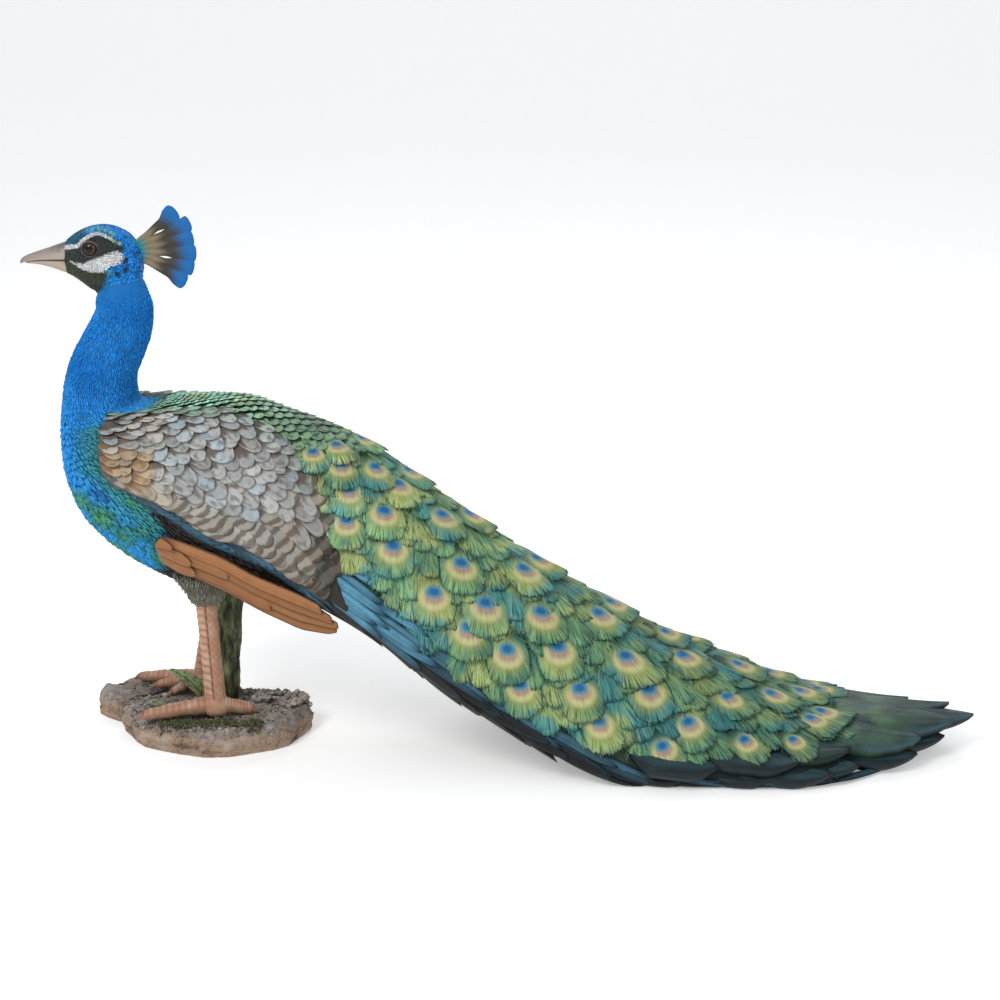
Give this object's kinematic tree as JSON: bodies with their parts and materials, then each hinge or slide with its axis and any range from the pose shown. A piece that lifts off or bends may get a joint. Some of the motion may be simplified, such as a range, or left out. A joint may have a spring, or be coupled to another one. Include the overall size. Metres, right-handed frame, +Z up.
{
  "type": "garden statue of a peacock",
  "caption": "Life-like painted resin peacock statue standing on a small rock base, neck up and crest fanned, long eyed train sloping down behind to rest on the floor.",
  "frame": {"origin": "on the floor under the rock base, in the bird's middle plane, below its legs", "axes": "+Z up; +X back along the train, so the bird faces -X; the bird's left side is -Y"},
  "size_m": [1.0116, 0.287, 0.5733],
  "materials": {
    "blue_feather": "painted cast resin, fine feather relief, bright blue",
    "crest_plume": "painted cast resin, tan stems to blue tips",
    "green_scale": "painted cast resin, overlapping green scale feathers",
    "train_feather": "painted cast resin, green vanes with blue and yellow eye spots",
    "tip_feather": "painted cast resin, dark blue-grey",
    "grey_feather": "painted cast resin, grey and brown barred feathers",
    "dark_feather": "painted cast resin, blue-black",
    "orange_feather": "painted cast resin, tan orange",
    "thigh_down": "painted cast resin, grey down relief",
    "horn": "painted cast resin, satin horn colour",
    "eye_gloss": "glossy painted eye, brown iris and black pupil",
    "leg_skin": "painted cast resin, scaled pink-brown",
    "rock": "painted cast resin, stone relief",
    "rubble": "painted cast resin, dark earth relief",
    "plant": "painted cast resin, mottled green"
  },
  "bodies": {
    "root": {"base_back": "rock", "base_front": "rock", "bill_lower": "horn", "bill_upper": "horn", "breast": "blue_feather", "crest_plume_1": "crest_plume", "crest_plume_2": "crest_plume", "crest_plume_3": "crest_plume", "crest_plume_4": "crest_plume", "crest_plume_5": "crest_plume", "crest_plume_6": "crest_plume", "eye_left": "eye_gloss", "eye_right": "eye_gloss", "foot_left": "leg_skin", "foot_right": "leg_skin", "head": "blue_feather", "leaf": "plant", "neck_lower": "blue_feather", "neck_upper": "blue_feather", "primaries_left": "orange_feather", "primaries_right": "orange_feather", "rubble": "rubble", "rump": "green_scale", "secondaries_left": "dark_feather", "secondaries_right": "dark_feather", "shank_left": "leg_skin", "shank_right": "leg_skin", "stem_post": "plant", "thigh_left": "thigh_down", "thigh_right": "thigh_down", "tip_feather_left_1": "tip_feather", "tip_feather_left_2": "tip_feather", "tip_feather_left_3": "tip_feather", "tip_feather_left_4": "tip_feather", "tip_feather_middle": "tip_feather", "tip_feather_right_1": "tip_feather", "tip_feather_right_2": "tip_feather", "tip_feather_right_3": "tip_feather", "tip_feather_right_4": "tip_feather", "train_end": "train_feather", "train_lower": "train_feather", "train_middle": "train_feather", "train_upper": "train_feather", "trunk": "green_scale", "wing_coverts_left": "grey_feather", "wing_coverts_right": "grey_feather"}
  },
  "joints": []
}
